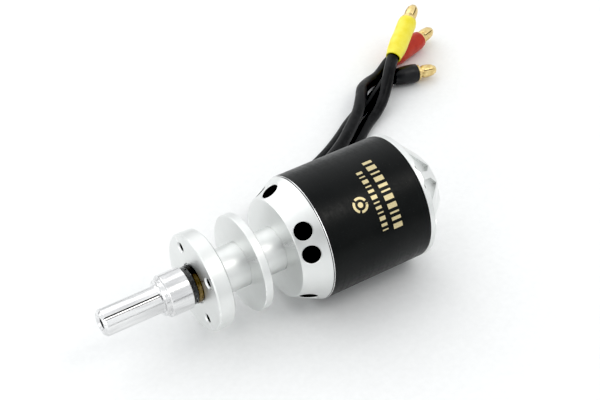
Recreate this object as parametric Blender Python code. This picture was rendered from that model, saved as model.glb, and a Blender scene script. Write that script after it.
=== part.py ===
"""Brushless outrunner motor with a long front bearing tube, lying on its can.

The shaft runs along X with the nose towards -X, and the origin is the centre of the
mounting flange's front face. The surface that the motor lies on is at Z = -CAN_R.
The can, magnets, rear bell, shaft and adapter turn about the X axis; the flange, disc,
tube, cover, stator and leads stand still.
"""

import math

import bmesh
import bpy
from mathutils import Matrix, Vector

# Driving dimensions, in millimetres. X stations are measured from the flange's front face.
CAN_R = 14.0
CAN_FRONT = 25.5
CAN_REAR = 49.8
CAN_WALL = 0.9
FLANGE_R = 10.8
FLANGE_T = 3.7
FLANGE_HOLE_R = 1.25
FLANGE_PCD_R = 7.9
DISC_X = 10.9
DISC_T = 1.85
DISC_R = 10.75
TUBE_R = 4.9
COVER_FACE = 19.5
COVER_FACE_R = 11.1
COVER_RIM_R = 13.9
SHAFT_R = 2.0
STACK_FRONT = 30.2
STACK_REAR = 44.8
STATOR_R = 11.0
BELL_RIM = 51.1
BELL_TOP = 56.0
BELL_TOP_R = 10.0
BELL_LIP = 0.2
ADAPTER_TIP = -21.5
ADAPTER_REAR = -2.2
ADAPTER_HUB_R = 4.6
SPACER_R = 4.16
GRUB_X = -4.7
GRUB_R = 1.0
GRUB_HOLE_R = 1.25
GRUB_FLOOR = 2.3
TOOTH_HALF = 1.1
LINER_T = 0.6
WINDOW_X = 22.6
LEAD_X = 22.25
LEAD_PITCH = 3.4
LEAD_R = 1.5
LEAD_IN = 2.5
LEAD_STEP = 4.0
SLEEVE_R = 2.4
PIN_R = 1.6
PIN_SHOWN = 4.4
CUP_R = 1.75

# Clearances: a running or touching gap, and the thin joint line of a pressed pair.
GAP = 0.3
JOINT = 0.15

# Patterns round the axis, in degrees from +Y towards +Z.
PATTERN_PHASE = 49.65
VENT_SPREAD = 12.35
LEAD_WINDOW_ANGLE = -33.0
ARM_PHASE = 125.0
SLOT_ANGLE = 122.0
GRUB_ANGLE = 305.0

TEETH = 9
POLES = 6
ARMS = 3
FLANGE_HOLES = 4
VENT_PAIRS = 3
BALLS = 7

# Segments round large, small, tube and drilled outlines.
ROUND = 60
SMALL_ROUND = 28
TUBE_ROUND = 40
BORE_ROUND = 16
MM = 0.001

# Where each connector's sleeve starts and where its pin ends.
CONNECTORS = {
    "yellow": ((83.6, 48.4, -6.9), (97.0, 58.9, -3.0)),
    "red": ((86.2, 52.6, -11.5), (101.7, 57.3, -11.2)),
    "black": ((82.4, 46.4, -11.3), (93.4, 43.8, -11.6)),
}

# Each lead's way from the cover window to its connector.
LEAD_ROUTES = {
    "yellow": [
        (23.4, 11.0, -11.0),
        (26.8, 13.4, -12.2),
        (31.0, 15.4, -12.45),
        (36.6, 17.8, -12.45),
        (43.5, 20.8, -12.45),
        (50.0, 24.2, -12.45),
        (56.5, 28.2, -12.45),
        (62.4, 32.2, -12.45),
        (67.4, 35.8, -12.45),
        (71.4, 38.0, -12.1),
        (74.6, 40.0, -11.0),
        (77.6, 42.5, -9.2),
        (80.5, 45.4, -7.6),
    ],
    "red": [
        (23.5, 12.9, -8.0),
        (26.8, 16.2, -9.2),
        (31.2, 18.8, -10.0),
        (37.0, 21.2, -10.3),
        (43.5, 23.6, -9.9),
        (50.4, 26.6, -9.6),
        (56.4, 30.0, -9.4),
        (61.6, 33.9, -9.2),
        (65.8, 37.4, -9.0),
        (69.2, 41.2, -9.0),
        (72.2, 45.0, -9.9),
        (75.8, 47.9, -11.5),
        (80.3, 49.9, -12.4),
    ],
    "black": [
        (23.4, 14.5, -5.2),
        (26.4, 18.2, -6.2),
        (30.6, 21.6, -7.8),
        (35.6, 24.4, -10.2),
        (41.4, 26.8, -12.2),
        (47.4, 29.0, -12.45),
        (53.4, 31.7, -12.45),
        (58.8, 34.8, -12.45),
        (63.8, 38.1, -12.45),
        (68.4, 40.6, -12.45),
        (73.2, 42.8, -12.45),
        (77.4, 44.9, -12.2),
    ],
}
LEAD_ROW = {"yellow": -1, "red": 0, "black": 1}


# ---------------------------------------------------------------- scene and materials


def clear_scene():
    for item in list(bpy.data.objects):
        bpy.data.objects.remove(item, do_unlink=True)


def material(name, colour, roughness, metallic):
    """A Principled material with one colour."""
    mat = bpy.data.materials.new(name)
    mat.use_nodes = True
    shader = mat.node_tree.nodes["Principled BSDF"]
    shader.inputs["Base Color"].default_value = (*colour, 1.0)
    shader.inputs["Roughness"].default_value = roughness
    shader.inputs["Metallic"].default_value = metallic
    return mat


def make_materials():
    return {
        "silver": material("bead_blasted_aluminium", (0.80, 0.80, 0.79), 0.38, 1.0),
        "bright": material("turned_aluminium", (0.86, 0.86, 0.87), 0.16, 1.0),
        "black": material("black_can", (0.015, 0.016, 0.018), 0.34, 0.0),
        "steel": material("ground_steel", (0.62, 0.62, 0.63), 0.20, 1.0),
        "dark_steel": material("black_steel", (0.03, 0.028, 0.025), 0.22, 1.0),
        "core": material("silicon_steel", (0.22, 0.22, 0.23), 0.45, 1.0),
        "copper": material("enamelled_copper", (0.55, 0.22, 0.08), 0.30, 1.0),
        "liner": material("slot_liner", (0.05, 0.16, 0.09), 0.55, 0.0),
        "magnet": material("nickel_magnet", (0.50, 0.49, 0.47), 0.28, 1.0),
        "lead": material("silicone_lead", (0.02, 0.02, 0.022), 0.50, 0.0),
        "gold": material("gold_plate", (0.86, 0.62, 0.22), 0.20, 1.0),
        "yellow": material("yellow_sleeve", (0.95, 0.82, 0.05), 0.40, 0.0),
        "red": material("red_sleeve", (0.62, 0.03, 0.02), 0.40, 0.0),
        "black_sleeve": material("black_sleeve", (0.02, 0.02, 0.02), 0.42, 0.0),
    }


# ---------------------------------------------------------------- modelling helpers


def finish_mesh(bm, name, scale=MM):
    """Turns a bmesh drawn in millimetres into a closed mesh in metres."""
    bmesh.ops.remove_doubles(bm, verts=bm.verts, dist=1e-5)
    bmesh.ops.recalc_face_normals(bm, faces=bm.faces)
    bmesh.ops.scale(bm, vec=(scale, scale, scale), verts=bm.verts)
    mesh = bpy.data.meshes.new(name)
    bm.to_mesh(mesh)
    bm.free()
    mesh.shade_smooth()
    mesh.set_sharp_from_angle(angle=math.radians(30))
    return mesh


def add_object(name, data, mat, parent):
    item = bpy.data.objects.new(name, data)
    item.data.materials.append(mat)
    item.parent = parent
    bpy.context.scene.collection.objects.link(item)
    return item


def add_empty(name):
    item = bpy.data.objects.new(name, None)
    bpy.context.scene.collection.objects.link(item)
    return item


def add_cutter(name, bm, target, operation="DIFFERENCE"):
    """Hangs a Boolean on the target, driven by a hidden object."""
    cutter = bpy.data.objects.new(name, finish_mesh(bm, name))
    cutter.hide_render = True
    cutter.display_type = "WIRE"
    cutter.parent = target.parent
    bpy.context.scene.collection.objects.link(cutter)
    cut = target.modifiers.new(name, "BOOLEAN")
    cut.operation = operation
    cut.object = cutter


def turned(profile, segments=ROUND):
    """A solid of revolution about X from a closed outline of (x, radius) points."""
    bm = bmesh.new()
    verts = [bm.verts.new((x, 0.0, r)) for x, r in profile]
    edges = [bm.edges.new((verts[i - 1], verts[i])) for i in range(len(verts))]
    bmesh.ops.spin(
        bm,
        geom=verts + edges,
        cent=(0, 0, 0),
        axis=(1, 0, 0),
        angle=math.tau,
        steps=segments,
        use_merge=True,
    )
    return bm


def ring_outline(x0, x1, inner, outer, edge=0.15):
    """The outline of a plain ring with chamfered outer corners."""
    return [
        (x0, inner),
        (x0, outer - edge),
        (x0 + edge, outer),
        (x1 - edge, outer),
        (x1, outer - edge),
        (x1, inner),
    ]


def polar(x, radius, degrees):
    angle = math.radians(degrees)
    return Vector((x, radius * math.cos(angle), radius * math.sin(angle)))


def prism(bm, base, offset):
    """Adds the solid swept by moving a flat polygon along an offset."""
    low = [bm.verts.new(p) for p in base]
    high = [bm.verts.new(p + offset) for p in base]
    bm.faces.new(low)
    bm.faces.new(list(reversed(high)))
    for i in range(len(low)):
        bm.faces.new((low[i - 1], high[i - 1], high[i], low[i]))


def rod(bm, start, end, radius, segments=BORE_ROUND):
    """Adds a cylinder between two points."""
    start = Vector(start)
    along = Vector(end) - start
    turn = Vector((0, 0, 1)).rotation_difference(along.normalized()).to_matrix().to_4x4()
    middle = Matrix.Translation(start + along / 2) @ turn
    bmesh.ops.create_cone(
        bm,
        cap_ends=True,
        segments=segments,
        radius1=radius,
        radius2=radius,
        depth=along.length,
        matrix=middle,
    )


def lathe_part(name, profile, mat, parent, segments=ROUND):
    return add_object(name, finish_mesh(turned(profile, segments), name), mat, parent)


# ---------------------------------------------------------------- front mount and cover


def build_flange(mats, body):
    lip = 0.9
    lip_bore = 2.9
    recess = 0.35
    recess_r = SPACER_R + 0.45
    bore = TUBE_R + JOINT
    edge = 0.3
    outline = [
        (recess, lip_bore),
        (recess, recess_r),
        (0.0, recess_r + 0.05),
        (0.0, FLANGE_R - edge),
        (edge, FLANGE_R),
        (FLANGE_T - edge, FLANGE_R),
        (FLANGE_T, FLANGE_R - edge),
        (FLANGE_T, bore),
        (lip, bore),
        (lip, lip_bore),
    ]
    flange = lathe_part("mounting_flange", outline, mats["silver"], body)
    holes = bmesh.new()
    for i in range(FLANGE_HOLES):
        angle = PATTERN_PHASE + i * 360.0 / FLANGE_HOLES
        start = polar(-1, FLANGE_PCD_R, angle)
        end = polar(FLANGE_T + 1, FLANGE_PCD_R, angle)
        rod(holes, start, end, FLANGE_HOLE_R)
    add_cutter("flange_holes", holes, flange)


def build_tube(mats, body):
    front = 1.05
    rear = 47.0
    seat = 3.35
    seat_r = 4.15
    relief_r = 3.2
    outline = [
        (front, seat_r),
        (front, TUBE_R),
        (rear, TUBE_R),
        (rear, seat_r),
        (rear - seat, seat_r),
        (rear - seat, relief_r),
        (front + seat, relief_r),
        (front + seat, seat_r),
    ]
    lathe_part("bearing_tube", outline, mats["silver"], body, TUBE_ROUND)


def build_disc(mats, body):
    outline = ring_outline(DISC_X, DISC_X + DISC_T, TUBE_R + JOINT, DISC_R)
    lathe_part("locating_disc", outline, mats["silver"], body)


def cover_slope():
    """Unit vectors along and out of the cover's cone, as (x, radius)."""
    along = Vector((CAN_FRONT - 0.8 - COVER_FACE, COVER_RIM_R - COVER_FACE_R)).normalized()
    return along, Vector((-along.y, along.x))


def build_cover(mats, body):
    rim = CAN_FRONT - 0.4
    plate = 1.4
    wall = 0.9
    boss_r = 6.3
    boss_end = STACK_FRONT - 0.9
    bore = TUBE_R + JOINT
    edge = 0.15
    outline = [
        (COVER_FACE, bore),
        (COVER_FACE, COVER_FACE_R - edge),
        (COVER_FACE + edge, COVER_FACE_R),
        (rim - 0.4, COVER_RIM_R - 0.05),
        (rim, COVER_RIM_R),
        (rim, COVER_RIM_R - wall),
        (COVER_FACE + plate, COVER_FACE_R - 0.7),
        (COVER_FACE + plate, boss_r),
        (boss_end, boss_r),
        (boss_end, bore),
    ]
    cover = lathe_part("front_cover", outline, mats["silver"], body)
    cutters = bmesh.new()
    vent_r = 1.95
    vent_x = 21.8
    vent_ring_r = 12.2
    normal = cover_slope()[1]
    depth = 3.0
    for pair in range(VENT_PAIRS):
        for side in (-1, 1):
            angle = PATTERN_PHASE + pair * 90.0 + side * VENT_SPREAD
            inner = polar(vent_x - depth * normal.x, vent_ring_r - depth * normal.y, angle)
            outer = polar(vent_x + depth * normal.x, vent_ring_r + depth * normal.y, angle)
            rod(cutters, inner, outer, vent_r)
    add_lead_window(cutters)
    add_cutter("cover_openings", cutters, cover)


def lead_axes():
    """The directions out of the lead window and along it."""
    return polar(0, 1, LEAD_WINDOW_ANGLE), polar(0, 1, LEAD_WINDOW_ANGLE + 90)


def add_lead_window(bm):
    """A long round-ended window that the three leads pass through side by side."""
    out, along = lead_axes()
    end_r = LEAD_R + 0.45
    half = LEAD_PITCH + 0.1
    inside_r = 8.2
    base = []
    for end in (-1, 1):
        for step in range(9):
            angle = math.radians(-90 + 22.5 * step)
            middle = Vector((WINDOW_X - end * math.sin(angle) * end_r, 0, 0))
            base.append(out * inside_r + middle + along * end * (half + math.cos(angle) * end_r))
    prism(bm, base, out * inside_r)


# ---------------------------------------------------------------- stator


def tooth_outline(shoe_r, root_r):
    """The outline of one tooth and half of each slot beside it, as (radius, degrees)."""
    slot_half = 3.9
    shoe = 180.0 / TEETH - slot_half
    points = [(shoe_r, shoe * step) for step in (-1, 0, 1)]
    under_r = shoe_r - 0.7
    neck_r = shoe_r - 1.3
    after = [(under_r, shoe), (neck_r, math.degrees(math.asin(TOOTH_HALF / neck_r)))]
    after.append((root_r, math.degrees(math.asin(TOOTH_HALF / root_r))))
    before = [(r, -a) for r, a in reversed(after)]
    return before + points + after


def lamination(name, x0, x1, shoe_r, mat, body):
    base = []
    root_r = 6.5
    for tooth in range(TEETH):
        for radius, angle in tooth_outline(shoe_r, root_r):
            base.append(polar(x0, radius, angle + tooth * 360.0 / TEETH))
    bm = bmesh.new()
    prism(bm, base, Vector((x1 - x0, 0, 0)))
    plate = add_object(name, finish_mesh(bm, name), mat, body)
    bore = bmesh.new()
    rod(bore, (x0 - 1, 0, 0), (x1 + 1, 0, 0), TUBE_R + JOINT + 0.02, TUBE_ROUND)
    add_cutter(name + "_bore", bore, plate)


def build_stator(mats, body):
    lamination("stator_core", STACK_FRONT, STACK_REAR, STATOR_R, mats["core"], body)
    front = STACK_FRONT - JOINT
    rear = STACK_REAR + JOINT
    liner_r = STATOR_R - 0.1
    lamination("stator_insulator_front", front - LINER_T, front, liner_r, mats["liner"], body)
    lamination("stator_insulator_rear", rear, rear + LINER_T, liner_r, mats["liner"], body)


def coil_path(low_x, high_x, half, corner):
    """A rounded rectangle round a tooth: points (x, across) with their outward normals."""
    points = []
    middle = (low_x + high_x) / 2
    corners = [(high_x, half, 0), (low_x, half, 90), (low_x, -half, 180), (high_x, -half, 270)]
    for x, across, start in corners:
        centre_x = x - math.copysign(corner, x - middle)
        centre = Vector((centre_x, across - math.copysign(corner, across)))
        for step in range(4):
            angle = math.radians(start + 30 * step)
            normal = Vector((math.cos(angle), math.sin(angle)))
            points.append((centre + normal * corner, normal))
    return points


def build_coils(mats, body):
    """One coil round each tooth, a flat band swept along a rounded rectangle."""
    clear = 0.25
    thickness = 0.8
    low_r = 7.0
    high_r = 9.4
    low_x = STACK_FRONT - JOINT - LINER_T - clear
    high_x = STACK_REAR + JOINT + LINER_T + clear
    path = coil_path(low_x, high_x, TOOTH_HALF + clear, 0.25)
    for tooth in range(TEETH):
        bm = bmesh.new()
        turn = Matrix.Rotation(math.radians(360.0 * tooth / TEETH), 4, "X")
        loops = []
        for point, normal in path:
            far = point + normal * thickness
            section = [(point, low_r), (far, low_r), (far, high_r), (point, high_r)]
            loops.append([bm.verts.new(turn @ Vector((p.x, r, p.y))) for p, r in section])
        for i in range(len(loops)):
            for j in range(4):
                bm.faces.new((loops[i - 1][j - 1], loops[i - 1][j], loops[i][j], loops[i][j - 1]))
        name = f"coil_{tooth + 1}"
        add_object(name, finish_mesh(bm, name), mats["copper"], body)


# ---------------------------------------------------------------- bearings


def build_bearing(name, front, mats, fixed, rotor, cage):
    width = 3.0
    edge = 0.12
    outer_hole = 3.45
    inner_r = 2.6
    outline = ring_outline(front, front + width, outer_hole, 4.0, edge)
    lathe_part(name + "_outer_race", outline, mats["steel"], fixed, SMALL_ROUND)
    outline = ring_outline(front, front + width, SHAFT_R + JOINT, inner_r, edge)
    lathe_part(name + "_inner_race", outline, mats["steel"], rotor, SMALL_ROUND)
    ball_r = 0.36
    pitch_r = (outer_hole + inner_r) / 2
    middle = front + width / 2
    ring = [(-0.55, -0.13), (-0.55, 0.13), (0.55, 0.13), (0.55, -0.13)]
    outline = [(middle + x, pitch_r + r) for x, r in ring]
    cage_ring = lathe_part(name + "_ball_cage", outline, mats["steel"], cage, SMALL_ROUND)
    balls = bmesh.new()
    for i in range(BALLS):
        centre = Matrix.Translation(polar(middle, pitch_r, (i + 0.5) * 360.0 / BALLS))
        bmesh.ops.create_icosphere(balls, subdivisions=1, radius=ball_r, matrix=centre)
    add_cutter(name + "_balls", balls, cage_ring, "UNION")


# ---------------------------------------------------------------- rotor


def build_shaft(mats, rotor):
    front = -13.0
    rear = BELL_TOP - 0.3
    edge = 0.3
    outline = [
        (front, 0.0),
        (front, SHAFT_R - edge),
        (front + edge, SHAFT_R),
        (rear - edge, SHAFT_R),
        (rear, SHAFT_R - edge),
        (rear, 0.0),
    ]
    lathe_part("shaft", outline, mats["steel"], rotor, SMALL_ROUND)


def build_adapter(mats, rotor):
    """The stepped nose: a slotted barrel, a collar and a clamping barrel."""
    barrel_r = 2.95
    tip_r = 2.4
    shoulder = -8.3
    collar_r = 3.95
    hub_front = -7.3
    hub_r = ADAPTER_HUB_R
    tap_r = 1.3
    tap_end = -15.5
    bore = SHAFT_R + JOINT
    bore_end = -13.3
    edge = 0.2
    outline = [
        (ADAPTER_TIP, tap_r + 0.35),
        (ADAPTER_TIP, tip_r),
        (ADAPTER_TIP + 0.6, barrel_r),
        (shoulder, barrel_r),
        (shoulder, collar_r - edge),
        (shoulder + edge, collar_r),
        (hub_front - 0.15, collar_r),
        (hub_front, collar_r + 0.05),
        (hub_front, hub_r - 0.25),
        (hub_front + 0.25, hub_r),
        (ADAPTER_REAR - edge, hub_r),
        (ADAPTER_REAR, hub_r - edge),
        (ADAPTER_REAR, bore),
        (bore_end, bore),
        (bore_end, 0.0),
        (tap_end - 0.6, 0.0),
        (tap_end - 1.2, tap_r),
        (ADAPTER_TIP + 0.35, tap_r),
    ]
    adapter = lathe_part("shaft_adapter", outline, mats["bright"], rotor, TUBE_ROUND)
    cutters = bmesh.new()
    slot_floor = 2.4
    slot_half = 0.3
    across = polar(0, slot_half, SLOT_ANGLE + 90)
    start = polar(ADAPTER_TIP - 1, slot_floor, SLOT_ANGLE)
    rise = polar(0, 2.0, SLOT_ANGLE)
    base = [start - across, start + across, start + across + rise, start - across + rise]
    prism(cutters, base, Vector((shoulder - 0.3 - ADAPTER_TIP + 1, 0, 0)))
    rod(cutters, polar(GRUB_X, 1.0, GRUB_ANGLE), polar(GRUB_X, hub_r + 1, GRUB_ANGLE), GRUB_HOLE_R)
    add_cutter("adapter_cuts", cutters, adapter)
    build_grub_screw("adapter_grub_screw", GRUB_X, GRUB_ANGLE, hub_r - 0.5, mats["dark_steel"], rotor)


def build_grub_screw(name, x, angle, outer, mat, rotor):
    """A radial set screw with a hexagon socket."""
    bm = bmesh.new()
    rod(bm, polar(x, GRUB_FLOOR, angle), polar(x, outer, angle), GRUB_R)
    screw = add_object(name, finish_mesh(bm, name), mat, rotor)
    socket = bmesh.new()
    socket_r = 0.55
    socket_depth = 1.0
    rod(socket, polar(x, outer - socket_depth, angle), polar(x, outer + 1, angle), socket_r, 6)
    add_cutter(name + "_socket", socket, screw)


def build_spacer(mats, rotor):
    rear = 0.05
    edge = 0.2
    outline = ring_outline(ADAPTER_REAR + JOINT, rear, SHAFT_R + JOINT, SPACER_R, edge)
    lathe_part("shaft_spacer", outline, mats["dark_steel"], rotor, TUBE_ROUND)


def build_can(mats, rotor):
    edge = 0.2
    inner = CAN_R - CAN_WALL
    outline = [
        (CAN_FRONT, inner),
        (CAN_FRONT, CAN_R - edge),
        (CAN_FRONT + edge, CAN_R),
        (CAN_REAR, CAN_R),
        (CAN_REAR, inner),
    ]
    lathe_part("rotor_can", outline, mats["black"], rotor, ROUND)


def build_magnets(mats, rotor):
    """Arc magnets bonded inside the can, with a small space between them."""
    outer = CAN_R - CAN_WALL - 0.25
    inner = outer - 1.5
    front = 28.3
    rear = 46.3
    span = 52.0
    steps = 8
    for pole in range(POLES):
        middle = pole * 360.0 / POLES
        base = [polar(front, outer, middle - span / 2 + span * i / steps) for i in range(steps + 1)]
        base += [polar(front, inner, middle + span / 2 - span * i / steps) for i in range(steps + 1)]
        bm = bmesh.new()
        prism(bm, base, Vector((rear - front, 0, 0)))
        name = f"magnet_{pole + 1}"
        add_object(name, finish_mesh(bm, name), mats["magnet"], rotor)


def bell_point(rise, side, angle, depth=0.0):
    """A point on the bell's cone: rise along the slope from the rim, side across an arm."""
    along = Vector((BELL_TOP - BELL_LIP - BELL_RIM, BELL_TOP_R - CAN_R)).normalized()
    normal = Vector((-along.y, along.x))
    place = Vector((BELL_RIM, CAN_R)) + along * rise - normal * depth
    return polar(place.x, place.y, angle) + polar(0, side, angle + 90)


def add_arm_pockets(bm, angle):
    """Two scooped pockets beside an arm's ridge, each with a drilled corner."""
    depth = 0.9
    above = -2.5
    ridge_foot = (0.8, 0.95)
    ridge_head = (3.7, 0.75)
    top_corner = (5.9, 2.0)
    rim_corner = (0.8, 5.7)
    drill_place = (0.8, 2.2)
    drill_r = 0.6
    drill_depth = 3.2
    for side in (-1, 1):
        corners = [ridge_foot, ridge_head, top_corner, rim_corner]
        low = [bell_point(rise, side * out, angle, depth) for rise, out in corners]
        lift = bell_point(0, 0, angle, above) - bell_point(0, 0, angle, depth)
        prism(bm, low, lift)
        rise, out = drill_place
        start = bell_point(rise, side * out, angle, drill_depth)
        rod(bm, start, bell_point(rise, side * out, angle, above), drill_r, 10)


def add_lobe_flats(bm, angle):
    """A flat on each shoulder of a lobe, which thins the top plate towards the windows."""
    lift = 3.0
    reach = 6.0
    for side in (-1, 1):
        inner = polar(BELL_TOP, 9.85, angle + side * 12.0)
        outer = polar(BELL_TOP, 8.95, angle + side * 40.0)
        foot = polar(BELL_RIM + 0.3, CAN_R, angle + side * 25.0)
        across = (outer - inner).normalized()
        middle = (inner + outer) / 2
        normal = across.cross(foot - middle).normalized()
        if normal.x < 0:
            normal = -normal
        down = foot - middle - across * across.dot(foot - middle)
        high = middle - down * 0.5
        low = middle + down * 1.3
        corners = [high - across * reach, high + across * reach, low + across * reach, low - across * reach]
        prism(bm, corners, normal * lift)


def add_bell_window(bm, angle):
    """A rounded opening between two lobes, through the cone and the outer plate."""
    half = 21.5
    steps = 6
    middle_r = 11.2
    inner_window = (6.2, middle_r + 0.2, 46.0)
    outer_window = (middle_r, 15.5, BELL_RIM + 0.1)
    for inner, outer, front in (inner_window, outer_window):
        spread = [angle - half + 2 * half * i / steps for i in range(steps + 1)]
        base = [polar(front, outer, a) for a in spread]
        base += [polar(front, inner, a) for a in reversed(spread)]
        prism(bm, base, Vector((BELL_TOP + 1 - front, 0, 0)))


def build_bell(mats, rotor):
    """The spoked rear end that carries the can on the shaft."""
    front = 47.3
    spigot_front = 47.7
    spigot_r = CAN_R - CAN_WALL - JOINT
    spigot_wall = 1.0
    boss_front_r = 2.7
    hub_r = 4.6
    hub_front = 48.6
    plate_under = 53.4
    bore = SHAFT_R + JOINT
    joint_x = CAN_REAR + JOINT
    outline = [
        (spigot_front, spigot_r - spigot_wall),
        (spigot_front, spigot_r),
        (joint_x, spigot_r),
        (joint_x, CAN_R - 0.1),
        (joint_x + 0.1, CAN_R),
        (BELL_RIM, CAN_R),
        (BELL_TOP - BELL_LIP, BELL_TOP_R),
        (BELL_TOP, BELL_TOP_R - 0.3),
        (BELL_TOP, bore),
        (front, bore),
        (front, boss_front_r),
        (hub_front, hub_r),
        (plate_under, hub_r),
        (plate_under, 8.2),
        (50.2, 11.4),
        (50.2, spigot_r - spigot_wall),
    ]
    bell = lathe_part("rear_bell", outline, mats["silver"], rotor, ROUND)
    windows = bmesh.new()
    pockets = bmesh.new()
    flats = bmesh.new()
    for arm in range(ARMS):
        angle = ARM_PHASE + arm * 360.0 / ARMS
        add_bell_window(windows, angle + 180.0 / ARMS)
        add_arm_pockets(pockets, angle)
        add_lobe_flats(flats, angle)
    screw_x = 51.0
    screw_angle = ARM_PHASE - 180.0 / ARMS
    rod(pockets, polar(screw_x, 1.0, screw_angle), polar(screw_x, hub_r + 0.6, screw_angle), GRUB_HOLE_R)
    for name, cutter in (("bell_windows", windows), ("bell_flats", flats), ("bell_pockets", pockets)):
        add_cutter(name, cutter, bell)
        bell.modifiers[name].use_self = True
    build_grub_screw("bell_grub_screw", screw_x, screw_angle, hub_r - 0.4, mats["dark_steel"], rotor)


# ---------------------------------------------------------------- leads and connectors

def smooth_points(points, step):
    """Evenly spaced points on a Catmull-Rom curve through the given ones."""
    ends = [points[0] * 2 - points[1]] + points + [points[-1] * 2 - points[-2]]
    fine = []
    parts = 24
    for i in range(1, len(ends) - 2):
        a, b, c, d = ends[i - 1 : i + 3]
        for j in range(parts):
            t = j / parts
            bend = (2 * a - 5 * b + 4 * c - d) * t**2 + (3 * b - a - 3 * c + d) * t**3
            fine.append(0.5 * (2 * b + (c - a) * t + bend))
    fine.append(points[-1])
    length = sum((fine[i + 1] - fine[i]).length for i in range(len(fine) - 1))
    count = max(2, round(length / step))
    result = [fine[0]]
    walked = 0.0
    for i in range(len(fine) - 1):
        part = (fine[i + 1] - fine[i]).length
        while len(result) < count and walked + part >= len(result) * length / count:
            share = (len(result) * length / count - walked) / part
            result.append(fine[i].lerp(fine[i + 1], share))
        walked += part
    result.append(fine[-1])
    return result


def lead_route(colour):
    """The whole lead, from inside the cover window into its connector."""
    out, along = lead_axes()
    row = along * LEAD_ROW[colour] * LEAD_PITCH
    window = [Vector((LEAD_X, 0, 0)) + out * r + row for r in (9.2, 12.0)]
    begin, end = (Vector(p) for p in CONNECTORS[colour])
    way = (end - begin).normalized()
    return window + [Vector(p) for p in LEAD_ROUTES[colour]] + [begin - way, begin + way * LEAD_IN]


def build_lead(colour, mat, body):
    curve = bpy.data.curves.new("lead_" + colour, "CURVE")
    curve.dimensions = "3D"
    curve.bevel_depth = LEAD_R * MM
    curve.bevel_resolution = 2
    curve.use_fill_caps = True
    points = smooth_points(lead_route(colour), LEAD_STEP)
    line = curve.splines.new("POLY")
    line.points.add(len(points) - 1)
    for slot, point in zip(line.points, points):
        slot.co = (*(point * MM), 1.0)
    add_object("lead_" + colour, curve, mat, body)


def place_along(item, start, end):
    """Lays an object drawn along +X from the origin so that it runs from start to end."""
    way = (Vector(end) - Vector(start)).normalized()
    item.rotation_mode = "QUATERNION"
    item.rotation_quaternion = Vector((1, 0, 0)).rotation_difference(way)
    item.location = Vector(start) * MM


def build_connector(colour, sleeve_mat, mats, body):
    """A gold bullet pin and the heat-shrink sleeve over its solder cup."""
    start, end = CONNECTORS[colour]
    length = (Vector(end) - Vector(start)).length
    pin_front = length - PIN_SHOWN
    cup_start = LEAD_IN + GAP
    outline = [
        (cup_start, 0.0),
        (cup_start, CUP_R),
        (pin_front - 0.4, CUP_R),
        (pin_front - 0.4, PIN_R + 0.3),
        (pin_front, PIN_R + 0.3),
        (pin_front, PIN_R - 0.25),
        (pin_front + 0.5, PIN_R - 0.1),
        (pin_front + 2.0, PIN_R),
        (length - 0.9, PIN_R - 0.15),
        (length - 0.25, PIN_R - 0.6),
        (length, PIN_R - 1.1),
        (length, 0.0),
    ]
    pin = lathe_part("bullet_" + colour, outline, mats["gold"], body, BORE_ROUND)
    place_along(pin, start, end)
    sleeve_end = pin_front - 0.4 - JOINT
    outline = [
        (0.0, LEAD_R + 0.2),
        (0.0, LEAD_R + 0.5),
        (1.4, SLEEVE_R),
        (sleeve_end, SLEEVE_R),
        (sleeve_end, CUP_R + 0.2),
        (1.6, CUP_R + 0.2),
    ]
    sleeve = lathe_part("sleeve_" + colour, outline, sleeve_mat, body, BORE_ROUND + 4)
    place_along(sleeve, start, end)


# ---------------------------------------------------------------- assembly


def build():
    clear_scene()
    mats = make_materials()
    fixed = add_empty("fixed_body")
    rotor = add_empty("rotor_axis")
    front_cage = add_empty("front_cage_axis")
    rear_cage = add_empty("rear_cage_axis")
    build_flange(mats, fixed)
    build_tube(mats, fixed)
    build_disc(mats, fixed)
    build_cover(mats, fixed)
    build_stator(mats, fixed)
    build_coils(mats, fixed)
    build_bearing("front_bearing", 1.25, mats, fixed, rotor, front_cage)
    build_bearing("rear_bearing", 43.8, mats, fixed, rotor, rear_cage)
    build_shaft(mats, rotor)
    build_adapter(mats, rotor)
    build_spacer(mats, rotor)
    build_can(mats, rotor)
    build_magnets(mats, rotor)
    build_bell(mats, rotor)
    sleeves = {"yellow": mats["yellow"], "red": mats["red"], "black": mats["black_sleeve"]}
    for colour, sleeve_mat in sleeves.items():
        build_lead(colour, mats["lead"], fixed)
        build_connector(colour, sleeve_mat, mats, fixed)


build()
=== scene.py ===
"""Visual model of a brushless outrunner motor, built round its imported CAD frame.

Lengths are in millimetres until a mesh is finished, and then in metres. The shaft runs
along X with the nose towards -X, and the motor lies on the surface at Z = -can radius.
"""

import math

import bmesh
import bpy
from mathutils import Matrix, Vector


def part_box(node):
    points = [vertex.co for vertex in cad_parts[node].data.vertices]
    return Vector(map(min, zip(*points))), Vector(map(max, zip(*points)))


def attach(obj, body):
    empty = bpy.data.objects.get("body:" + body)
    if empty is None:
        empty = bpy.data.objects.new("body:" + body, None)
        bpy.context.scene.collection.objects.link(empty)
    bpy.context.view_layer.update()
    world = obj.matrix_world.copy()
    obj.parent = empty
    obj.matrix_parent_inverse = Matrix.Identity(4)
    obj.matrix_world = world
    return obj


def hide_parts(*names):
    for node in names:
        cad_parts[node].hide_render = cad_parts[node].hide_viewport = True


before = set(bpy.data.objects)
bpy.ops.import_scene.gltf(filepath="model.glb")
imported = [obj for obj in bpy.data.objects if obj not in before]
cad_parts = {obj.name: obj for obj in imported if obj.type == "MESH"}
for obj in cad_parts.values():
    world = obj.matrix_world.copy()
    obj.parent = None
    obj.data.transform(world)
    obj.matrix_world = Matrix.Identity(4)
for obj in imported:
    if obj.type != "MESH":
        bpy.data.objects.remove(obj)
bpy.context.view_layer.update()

MM = 0.001
FIXED = "stator"
TURNING = "rotor"

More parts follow.
